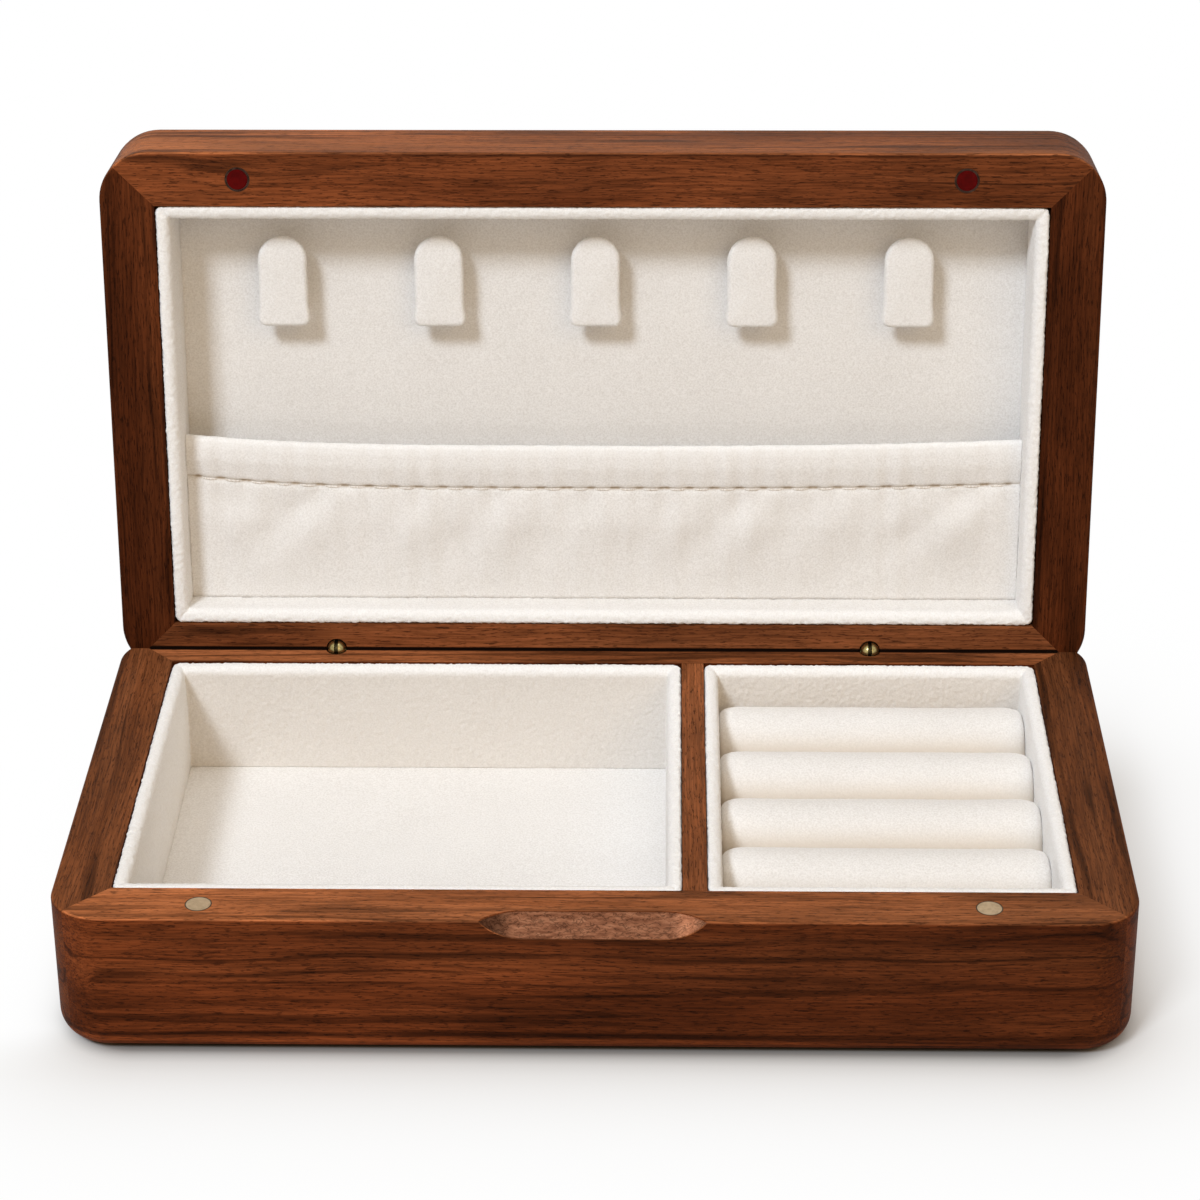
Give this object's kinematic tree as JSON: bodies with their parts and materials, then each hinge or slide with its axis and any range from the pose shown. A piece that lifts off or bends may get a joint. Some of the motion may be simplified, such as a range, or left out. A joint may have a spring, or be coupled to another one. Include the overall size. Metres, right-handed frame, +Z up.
{
  "type": "jewelry box",
  "caption": "Walnut jewelry box with a hinged lid that leans open: velvet lining, an open compartment, ring rolls, necklace hooks and a gathered pocket in the lid.",
  "frame": {"origin": "middle of the base's underside", "axes": "+X along the width, +Y to the hinged back, +Z up"},
  "size_m": [0.22, 0.1537, 0.148],
  "materials": {
    "walnut": "oiled, fine straight grain",
    "velvet": "short plush pile",
    "hinge_brass": "satin, slightly aged",
    "magnet_champagne": "satin plated",
    "magnet_red": "dark red lacquer",
    "cup_steel": "bright plated",
    "pearl": "polished mother-of-pearl"
  },
  "bodies": {
    "base": {"base_front_rail": "walnut", "base_back_rail": "walnut", "base_left_rail": "walnut", "base_right_rail": "walnut", "base_bottom_panel": "walnut", "divider": "walnut", "left_floor_pad": "velvet", "left_liner_front": "velvet", "left_liner_back": "velvet", "left_liner_left": "velvet", "left_liner_right": "velvet", "right_floor_pad": "velvet", "right_liner_front": "velvet", "right_liner_back": "velvet", "right_liner_left": "velvet", "right_liner_right": "velvet", "ring_roll_1": "velvet", "ring_roll_2": "velvet", "ring_roll_3": "velvet", "ring_roll_4": "velvet", "base_magnet_left": "magnet_champagne", "base_magnet_right": "magnet_champagne", "hinge_lower_barrel_left": "hinge_brass", "hinge_lower_barrel_right": "hinge_brass", "hinge_pin_left": "hinge_brass", "hinge_pin_right": "hinge_brass"},
    "lid": {"lid_front_rail": "walnut", "lid_back_rail": "walnut", "lid_left_rail": "walnut", "lid_right_rail": "walnut", "lid_top_panel": "walnut", "lid_liner_panel": "velvet", "lid_liner_front": "velvet", "lid_liner_back": "velvet", "lid_liner_left": "velvet", "lid_liner_right": "velvet", "necklace_hook_1": "velvet", "necklace_hook_2": "velvet", "necklace_hook_3": "velvet", "necklace_hook_4": "velvet", "necklace_hook_5": "velvet", "lid_pocket": "velvet", "lid_magnet_left": "magnet_red", "lid_magnet_right": "magnet_red", "lid_magnet_cup_left": "cup_steel", "lid_magnet_cup_right": "cup_steel", "lid_pearl_border": "pearl", "hinge_upper_barrel_left": "hinge_brass", "hinge_upper_barrel_right": "hinge_brass"}
  },
  "joints": [
    {"name": "lid_hinge", "type": "hinge", "parent": "base", "child": "lid", "pos_m": [0, 0.055, 0.0327], "axis": [1, 0, 0], "range_deg": [0, 96]}
  ]
}
